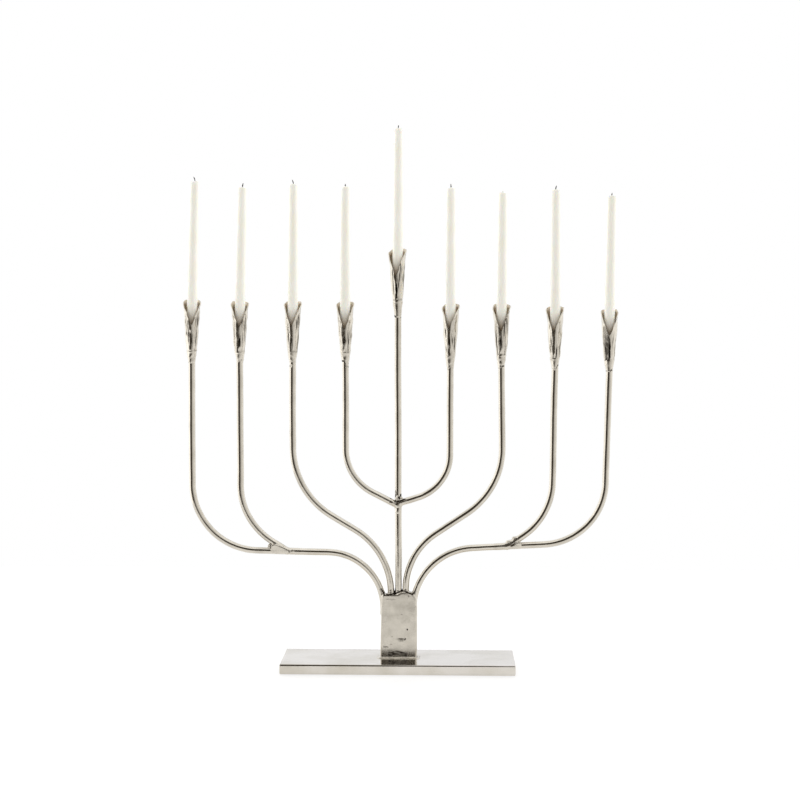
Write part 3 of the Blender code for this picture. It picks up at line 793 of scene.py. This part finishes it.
# Each cup's seam in degrees from the front towards +X, its V's depth, its slit's upper and lower
# ends and width, and its collar's length, in mm, down from the rim, and how much painted shade
# darkens its right and left flaps. Drift is how far the seam wanders round on its way down, in degrees.
CUPS = {
    1: dict(seam=4, notch=23.8, slit=(27, 50, 0.9), drift=10, collar=11, dull=(0.25, 0.15)),
    2: dict(seam=3, notch=24.2, slit=(33, 47, 1.4), drift=-3, collar=8, dull=(0.27, 0.0)),
    3: dict(seam=-5, notch=23.4, slit=(34, 51, 0.9), drift=4, collar=10, dull=(0.24, 0.12)),
    4: dict(seam=-4, notch=25.4, slit=(31, 48, 1.0), drift=-6, collar=9, dull=(0.15, 0.1)),
    5: dict(seam=-13, notch=26.4, slit=(31, 54, 1.6), drift=4, collar=16, dull=(0.27, 0.2)),
    6: dict(seam=-14, notch=23.0, slit=(24, 52, 1.2), drift=12, collar=12, dull=(0.0, 0.1)),
    7: dict(seam=-4, notch=26.0, slit=(28, 48, 1.2), drift=-6, collar=12, dull=(0.25, 0.35)),
    8: dict(seam=-14, notch=23.6, slit=(25, 47, 1.0), drift=8, collar=9, dull=(0.0, 0.0)),
    9: dict(seam=-5, notch=24.6, slit=(26, 50, 1.3), drift=6, collar=10, dull=(0.0, 0.5)),
}

# Nickel plate on beaten sheet: bright but puckered, with fine creases round the roll.
beaten = plated(
    "nickel_plate_beaten_sheet", NICKEL_TONES,
    smooth=0.12, rough=0.32, grain=0.8 * MM, wave=5 * MM, dents=6.0, brushed=(1, 1, 0.5),
)
# Nickel plate left unpolished inside the cup: brown, cloudy and half matt from candle soot.
sooted = plated(
    "nickel_plate_unpolished_inside", ("#4A3C2E", "#BFB3A1", "#D2C8B8"),
    smooth=0.38, rough=0.62, grain=1.2 * MM, wave=6 * MM, dents=3.0,
)


def ends_of(node):
    """The middles of a node's lowest and highest millimetre."""
    co = np.array([v.co for v in frame["nodes"][node].data.vertices])
    co = np.unique(np.round(co, 6), axis=0)
    height = co[:, 2]
    return co[height < height.min() + 1 * MM].mean(0), co[height > height.max() - 1 * MM].mean(0)


def upright(foot, top):
    """Turns points round a node's own foot to stand along its axis."""
    axis = Vector(top) - Vector(foot)
    return np.array(Vector((0, 0, 1)).rotation_difference(axis).to_matrix()), np.array(foot)


for arm, cup in CUPS.items():
    rng = np.random.default_rng(200 + arm)
    root_ring = ends_of(f"cup_{arm}")[0]
    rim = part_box(f"cup_{arm}")[1].z
    seat = ends_of(f"candle_{arm}")[0]
    turn_to, root = upright(root_ring, seat)
    height = rim - root[2] - 0.15 * MM
    u, v = np.meshgrid(np.linspace(0, 1, CUP_COLUMNS), np.linspace(0, 1, CUP_ROWS), indexing="ij")
    turn = u * (360 + 2 * CUP_LAP) - CUP_LAP
    from_seam = np.minimum(np.abs(turn), np.abs(turn - 360))
    fall = 1 - np.sin(math.pi / 2 * np.clip(from_seam / 100, 0, 1)) ** 1.25
    notch = (cup["notch"] * MM - BACK_DROP) * fall
    notch = notch + BACK_DROP * (1 - smoothstep(75, 140, from_seam))
    wavy = CUP_WAVY * waves(np.stack([turn / 360, 0 * turn, 0 * turn], -1), 0.08, seed=300 + arm)
    top = height - notch + wavy * (from_seam > 3)
    up = top * v
    depth = height - up
    deep = depth / MM
    slit_top, slit_end, slit_width = cup["slit"]
    opened = smoothstep(slit_top - 3, slit_top + 3, deep) * (1 - smoothstep(slit_end - 5, slit_end, deep))
    radius = np.interp(deep, *zip(*CUP_PROFILE)) * MM
    uneven = 0.75 + 0.4 * waves(np.stack([0 * u, 0 * u, up], -1), 7 * MM, seed=310 + arm)
    gape = np.degrees(0.5 * slit_width * MM / radius) * uneven
    near_start = 1 - smoothstep(0, 70, turn + CUP_LAP)
    near_end = 1 - smoothstep(0, 70, 360 + CUP_LAP - turn)
    shift = opened * (CUP_LAP + gape)
    wander = 2.5 * waves(np.stack([up, 0 * u, 0 * u], -1), 9 * MM, seed=320 + arm)
    path = cup["drift"] * smoothstep(22, 50, deep) + wander
    turn = turn + shift * near_start - shift * near_end + path * (near_start + near_end)
    flap = 1 - smoothstep(CUP_LAP, 60, turn * (u < 0.5) + 400 * (u >= 0.5))
    radius = radius + (CUP_SHEET + LAP_GAP) * flap * (1 - smoothstep(42, 49, deep))
    from_lip = np.minimum(top - up, 30 * MM)
    radius = radius + CUP_LIP * (1 - smoothstep(0, 3 * MM, from_lip)) * smoothstep(12, 50, from_seam)
    angle = np.radians(turn - 90 + cup["seam"])
    spots = np.stack([radius * np.cos(angle), radius * np.sin(angle), up], -1)
    radius = radius + CUP_DENTS * waves(spots, 4.5 * MM, seed=330 + arm)
    radius = radius + CUP_SAG * waves(spots, 11 * MM, seed=340 + arm)
    crease = 0 * u
    for number in range(CREASES):
        at_turn = rng.uniform(285, 335) if number < LEFT_CREASES else rng.uniform(18, 84)
        at_depth = rng.uniform(16, 44)
        lean, length, cut = rng.uniform(-0.8, 0.8), rng.uniform(3, 11), rng.uniform(0.2, 0.5)
        across = (turn - at_turn - lean * (deep - at_depth)) / CREASE_WIDTH
        crease = crease + cut * np.exp(-across**2 - ((deep - at_depth) / length) ** 2)
    snug = (CUP_BORE + CUP_SHEET) * (1 - smoothstep(30 * MM, 34 * MM, depth))
    radius = np.maximum(radius - crease * MM, snug)
    points = np.stack([radius * np.cos(angle), radius * np.sin(angle), up], -1)
    points = points.reshape(-1, 3) @ turn_to.T + root
    index = np.arange(CUP_COLUMNS * CUP_ROWS).reshape(CUP_COLUMNS, CUP_ROWS)
    faces = np.stack([index[:-1, :-1], index[1:, :-1], index[1:, 1:], index[:-1, 1:]], -1).reshape(-1, 4)
    # Painted shade in the crevice layer: in the creases, along the lapped edge over the slit, on the sheet
    # under the lap, and at the cup's foot by the collar.
    edge = (1 - smoothstep(0, 9, turn + CUP_LAP - shift)) * opened
    shade_under_lap = (1 - smoothstep(0, 8, 360 + CUP_LAP - turn)) * smoothstep(20, 28, deep)
    shade_at_cup_foot = smoothstep(46, 49, deep) * 0.2
    right, left = cup["dull"]
    flap_shade = right * (1 - smoothstep(70, 120, turn)) + left * smoothstep(280, 310, turn)
    flap_shade = flap_shade * smoothstep(8, 20, deep)
    darkening = np.clip(1.4 * crease + 0.25 * edge + 0.6 * shade_under_lap + shade_at_cup_foot + flap_shade, 0, 1)
    sheet = built(f"cup_{arm}_rolled", points, faces, beaten, "nickel", crevice=darkening.ravel())
    sheet.data.materials.append(sooted)
    solid = sheet.modifiers.new("sheet", "SOLIDIFY")
    solid.thickness = CUP_SHEET
    solid.offset = -1
    solid.material_offset = 1
    soft = sheet.modifiers.new("worn_edge", "BEVEL")
    soft.width = CUP_EDGE
    soft.segments = 2
    soft.limit_method = "ANGLE"
    soft.angle_limit = math.radians(50)
    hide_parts(f"cup_{arm}")


# Collars: weld metal run round each cup's root and down onto its rod, which fixes the cup, then
# filed to a ragged taper and plated with the rest.

COLLAR_ROWS = 30
COLLAR_SIDES = 40
COLLAR_LAP = 2.2 * MM  # up inside the cup
COLLAR_SWELL = (  # share of its length down, and how far it stands proud of the rod, in mm
    (0, 0.4), (0.1, 1.45), (0.17, 1.6), (0.3, 1.3), (0.6, 0.7), (0.85, 0.22), (0.97, 0.05), (1, -0.3),
)

for arm, cup in CUPS.items():
    root = ends_of(f"cup_{arm}")[0]
    v, angle = np.meshgrid(np.linspace(0, 1, COLLAR_ROWS), circle(COLLAR_SIDES), indexing="ij")
    length = cup["collar"] * MM
    ring = np.stack([np.cos(angle), np.sin(angle), 0 * v], -1)
    ragged = 1.2 * MM * waves(ring, 1.1, seed=400 + arm)
    up = COLLAR_LAP - v * (length + COLLAR_LAP) + ragged * (0.25 + 0.75 * v)
    swell = np.interp(v, *zip(*COLLAR_SWELL)) * MM
    rise = up[..., None] * np.array([0, 0, 1])
    spots = ring * ROD_RADIUS + rise
    radius = ROD_RADIUS + swell + 0.14 * MM * waves(spots, 3 * MM, seed=410 + arm)
    points = (ring * radius[..., None] + rise).reshape(-1, 3) + root
    faces = rings(COLLAR_ROWS, COLLAR_SIDES)[:, [0, 3, 2, 1]]
    # Painted shade at the tip, where the collar runs into the rod; the loose patches are random stains.
    tip = smoothstep(0.75, 0.97, v) * (0.3 + 0.5 * waves(spots, 3 * MM, seed=430 + arm))
    darkening = np.clip(tip + 0.3 * waves(spots, 4 * MM, seed=420 + arm).clip(0, 1), 0, 1)
    collar = built(f"cup_{arm}_collar", points, faces, filed, "weld", crevice=darkening.ravel())
    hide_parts(f"cup_weld_{arm}")


# Candles: dipped tapers of ivory paraffin wax, pushed down into the cups until they stand on the
# rods' ends. They have soft shoulders, a very slight bow, and feet darkened with painted shade from the
# cups.

CANDLE_SIDES = 40
CANDLE_STEP = 2.5 * MM
CANDLE_FOOT = 5.1 * MM
CANDLE_TOP = 4.1 * MM
WAX_BUMPS = 0.05 * MM
WAX_PAINTED_GLOW = 0.14  # painted glow, standing in for light let through from behind
CANDLE_BOW = 0.25 * MM
FOOT_SHADE_FADES = (1 * MM, 25 * MM)  # over the foot
SHOULDER = (  # mm down from the top, and share of the radius there
    (2.8, 1.0), (1.7, 0.985), (0.95, 0.94), (0.42, 0.84),
    (0.12, 0.68), (0.05, 0.5), (0.15, 0.34), (0.7, 0.17),
)

# Dipped paraffin wax: ivory, slightly see-through, silky, with cloudy swirls and tiny bumps.
wax, tree, place = new_material("dipped_paraffin_wax")
swirl = noise(tree, place, 16 * MM, 3.0)
grain = noise(tree, place, 1.5 * MM, 4.0)
ivory = add(tree, "ValToRGB", {"Fac": swirl}, stops=((0.3, "#F8F6EB"), (0.7, "#FBFAF2"))).outputs[0]
# Painted shade: the crevice layer turns the wax brown towards its foot, where it stands in the cup.
dark_share = add(tree, "Attribute", attribute_name="crevice").outputs["Fac"]
ivory = add(tree, "Mix", {0: dark_share, 6: ivory, 7: colour("#8F7D66")}, data_type="RGBA").outputs[2]
silk = add(tree, "MapRange", {0: grain, 1: 0.3, 2: 0.7, 3: 0.34, 4: 0.5}).outputs[0]
bump = add(tree, "Bump", {"Height": grain, "Strength": 0.25, "Distance": 0.03 * MM})
# Painted light: the wax glows a little by emission, standing in for light let through it.
surface(tree, {
    "Base Color": ivory, "Roughness": silk, "Normal": bump.outputs[0], "Subsurface Weight": 0.25,
    "Subsurface Radius": (0.004, 0.003, 0.002), "Subsurface Scale": 1.0, "Specular IOR Level": 0.12,
    "Emission Color": ivory, "Emission Strength": WAX_PAINTED_GLOW,
})

for arm in CUPS:
    foot, top = ends_of(f"candle_{arm}")
    top[2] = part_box(f"candle_{arm}")[1].z
    turn_to, foot = upright(foot, top)
    foot = foot * (1, 1, 0) + np.array([0, 0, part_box(f"candle_{arm}")[0].z])
    length = np.linalg.norm(top - foot)
    shaft = np.arange(0, length - (SHOULDER[0][0] + 1) * MM, CANDLE_STEP)
    rounding = length - MM * np.array([s[0] for s in SHOULDER])
    heights = np.concatenate([[0.3 * MM], shaft + 0.5 * MM, rounding])
    taper = CANDLE_FOOT + (CANDLE_TOP - CANDLE_FOOT) * heights / length
    shares = np.concatenate([[0.9], np.ones(len(shaft)), [s[1] for s in SHOULDER]])
    angle = circle(CANDLE_SIDES)
    radius = (taper * shares)[:, None] + 0 * angle
    rise = heights[:, None] + 0 * angle
    spots = np.stack([radius * np.cos(angle), radius * np.sin(angle), rise], -1)
    soft = np.minimum(1, shares)[:, None]
    radius = radius + soft * (WAX_BUMPS * waves(spots, 12 * MM, seed=500 + arm) - 0.03 * MM)
    bow_way = np.array([math.cos(arm * 2.4), math.sin(arm * 2.4)])
    bow = CANDLE_BOW * np.sin(math.pi * heights / length)[:, None] * bow_way
    points = np.stack([radius * np.cos(angle) + bow[:, :1], radius * np.sin(angle) + bow[:, 1:], rise], -1)
    ring = np.arange(CANDLE_SIDES)
    faces = rings(len(heights), CANDLE_SIDES).tolist()
    faces += [ring[::-1].tolist(), (ring + (len(heights) - 1) * CANDLE_SIDES).tolist()]
    # Painted shade: the wax darkens towards the foot.
    foot_shade = 1 - smoothstep(*FOOT_SHADE_FADES, rise)
    points = points.reshape(-1, 3) @ turn_to.T + foot
    taper = built(
        f"candle_{arm}_taper", points, faces, wax, "wax", f"candle_{arm}", crevice=foot_shade.ravel(),
    )
    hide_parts(f"candle_{arm}")


# Wicks: braided cotton, held by the wax that was dipped round it. Eight are charred and curled
# over where they have burnt; the seventh is still new.

WICK_RADIUS = 0.5 * MM
WICK_SIDES = 18
WICK_STRANDS = 3
WICK_TWIST = 2.6 * MM
WICK_STEP = 0.2 * MM
WICK_ROOT = 2.5 * MM  # how far it is drawn down inside the wax
NEW_WICK = 7


def cotton(name, tones):
    """Braided cotton: matt, with fine loose fibres round it."""
    material, tree, place = new_material(name)
    yarn = noise(tree, place, 0.4 * MM, 4.0)
    shade = add(tree, "ValToRGB", {"Fac": yarn}, stops=((0.3, tones[0]), (0.7, tones[1]))).outputs[0]
    bump = add(tree, "Bump", {"Height": yarn, "Strength": 0.8, "Distance": 0.1 * MM})
    surface(tree, {
        "Base Color": shade, "Roughness": 0.9, "Sheen Weight": 0.2, "Normal": bump.outputs[0]})
    return material


charred = cotton("charred_braided_cotton", ("#17140F", "#3D362C"))
waxed = cotton("waxed_braided_cotton", ("#D9D5C6", "#EFECE0"))

for arm in CUPS:
    tip = ends_of(f"wick_{arm}")[1]
    tip[2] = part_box(f"wick_{arm}")[1].z - 0.1 * MM
    top = ends_of(f"candle_{arm}")[1]
    top[2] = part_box(f"candle_{arm}")[1].z
    stand = tip[2] - top[2]
    lean = tip[0] - top[0]
    route = np.array([
        [top[0], top[2] - WICK_ROOT], [top[0], top[2]], [top[0] + 0.25 * lean, top[2] + 0.45 * stand],
        [top[0] + 0.7 * lean, top[2] + 0.85 * stand], [tip[0], tip[2] - 0.25 * MM],
    ])
    line = smooth_line(route, WICK_STEP)
    along = np.linspace(0, 1, len(line))
    frayed = 0.12 * waves(np.insert(line, 1, 0, axis=1), 1.5 * MM, 600 + arm)
    radius = WICK_RADIUS * (1 - 0.45 * smoothstep(0.7, 1, along) + frayed)
    points, faces = swept(line, radius, WICK_SIDES)
    angle = np.tile(circle(WICK_SIDES), len(line))
    run = np.repeat(np.arange(len(line)) * WICK_STEP, WICK_SIDES)
    centre = np.repeat(np.insert(line, 1, 0, axis=1), WICK_SIDES, axis=0)
    strand = np.abs(np.sin(0.5 * WICK_STRANDS * (angle - 2 * math.pi * run / WICK_TWIST)))
    points = centre + (points - centre) * (0.78 + 0.3 * strand)[:, None]
    points[:, 1] += top[1]
    look = waxed if arm == NEW_WICK else charred
    wick = built(f"wick_{arm}_braid", points, faces, look, "cotton", f"candle_{arm}")
    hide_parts(f"wick_{arm}")


# Stage: a white sweep with an even glow, and a bright soft studio with one dark side of the room
# by the camera, which the polished metal shows as its dark lines. The camera stands in front.

DARK_ROOM = (0.026, 0.021, 0.015, 1)
DARK_SOFT = 0.28  # radians over which the dark side's edge fades
DARK_TURN = (-1.3, -0.85)  # radians round from the front where its other end fades
DARK_TOP = (0.84, 0.7)  # heights, 1 being straight up, where its top fades
DARK_FOOT = (-0.42, -0.3)  # and its foot
OVERHEAD = (0.64, 0.64, 0.64, 1)
FLOOR_REACH = 0.62
FLOOR_GLOW = 0.66
CAMERA_AT = (0.04258, -1.64948, 0.34618)
CAMERA_AIM = (0.0011, 0, 0.2568)
CAMERA_ROLL = math.radians(0.113)
LENS = 78.16  # mm, on a 36 mm wide sensor

scene = bpy.context.scene
scene.view_settings.view_transform = "Standard"

world = bpy.data.worlds.new("white_studio")
scene.world = world
world.use_nodes = True
tree = world.node_tree
tree.nodes.clear()
way = add(tree, "SeparateXYZ", {0: add(tree, "TexCoord").outputs["Generated"]}).outputs
toward = combine(tree, "MULTIPLY", way["Y"], -1.0)
turn = combine(tree, "ARCTAN2", way["X"], toward)
share = add(tree, "MapRange", {0: turn, 1: -math.pi, 2: math.pi}).outputs[0]
around = add(tree, "ValToRGB", {"Fac": share}, stops=(  # share of the way round from behind, light
    (0.0, (0.48, 0.485, 0.5, 1)),
    (0.06, (0.55, 0.555, 0.56, 1)),
    (0.2, (0.85, 0.85, 0.85, 1)),
    (0.3, (0.9, 0.89, 0.88, 1)),
    (0.49, (0.36, 0.355, 0.345, 1)),
    (0.58, (0.38, 0.375, 0.365, 1)),
    (0.66, (0.46, 0.455, 0.45, 1)),
    (0.8, (0.62, 0.615, 0.61, 1)),
    (0.935, (0.58, 0.58, 0.58, 1)),
    (0.945, (0.08, 0.075, 0.07, 1)),
    (0.962, (0.08, 0.075, 0.07, 1)),
    (0.975, (0.48, 0.485, 0.5, 1)),
)).outputs[0]
overhead = fade(tree, way["Z"], 0.5, 0.8)
room = add(tree, "Mix", {0: overhead, 6: around, 7: OVERHEAD}, data_type="RGBA").outputs[2]
edge = add(tree, "MapRange", {0: way["Z"], 1: -0.1, 2: 0.12, 3: 0.1, 4: 0.32}).outputs[0]
past = combine(tree, "SUBTRACT", turn, edge)
dark = fade(tree, past, DARK_SOFT, -DARK_SOFT)
for value, (start, end) in ((turn, DARK_TURN), (way["Z"], DARK_TOP), (way["Z"], DARK_FOOT)):
    within = fade(tree, value, start, end)
    dark = combine(tree, "MULTIPLY", dark, within)
room = add(tree, "Mix", {0: dark, 6: room, 7: DARK_ROOM}, data_type="RGBA").outputs[2]
seen = add(tree, "LightPath").outputs["Is Camera Ray"]
lit = add(tree, "Background", {"Color": room, "Strength": 2.0}).outputs[0]
plain = add(tree, "Background", {"Color": (1, 1, 1, 1), "Strength": 1.0}).outputs[0]
both = add(tree, "MixShader", {0: seen, 1: lit, 2: plain})
tree.links.new(both.outputs[0], add(tree, "OutputWorld").inputs["Surface"])

# Back-lit white acrylic: glows evenly, so only a faint contact shadow shows on it.
acrylic, tree, place = new_material("back_lit_white_acrylic")
speck = noise(tree, place, 125 * MM, 2.0)
white = add(tree, "ValToRGB", {"Fac": speck}, stops=((0.3, "#989796"), (0.7, "#9C9B9A"))).outputs[0]
surface(tree, {
    "Base Color": white, "Roughness": 0.6,
    "Emission Color": (1, 1, 1, 1), "Emission Strength": FLOOR_GLOW,
})
floor_mesh = bpy.data.meshes.new("floor")
corners = [(x * FLOOR_REACH, y * FLOOR_REACH, 0) for x, y in ((-1, -1), (1, -1), (1, 1), (-1, 1))]
floor_mesh.from_pydata(corners, [], [(0, 1, 2, 3)])
floor_mesh.materials.append(acrylic)
floor = bpy.data.objects.new("floor", floor_mesh)
scene.collection.objects.link(floor)

camera_data = bpy.data.cameras.new("camera")
camera_data.lens = LENS
camera_data.sensor_width = 36
camera = bpy.data.objects.new("camera", camera_data)
scene.collection.objects.link(camera)
camera.location = CAMERA_AT
aim = Vector(CAMERA_AIM) - camera.location
turned = aim.to_track_quat("-Z", "Y").to_matrix().to_4x4() @ Matrix.Rotation(CAMERA_ROLL, 4, "Z")
camera.matrix_world = Matrix.Translation(camera.location) @ turned
scene.camera = camera
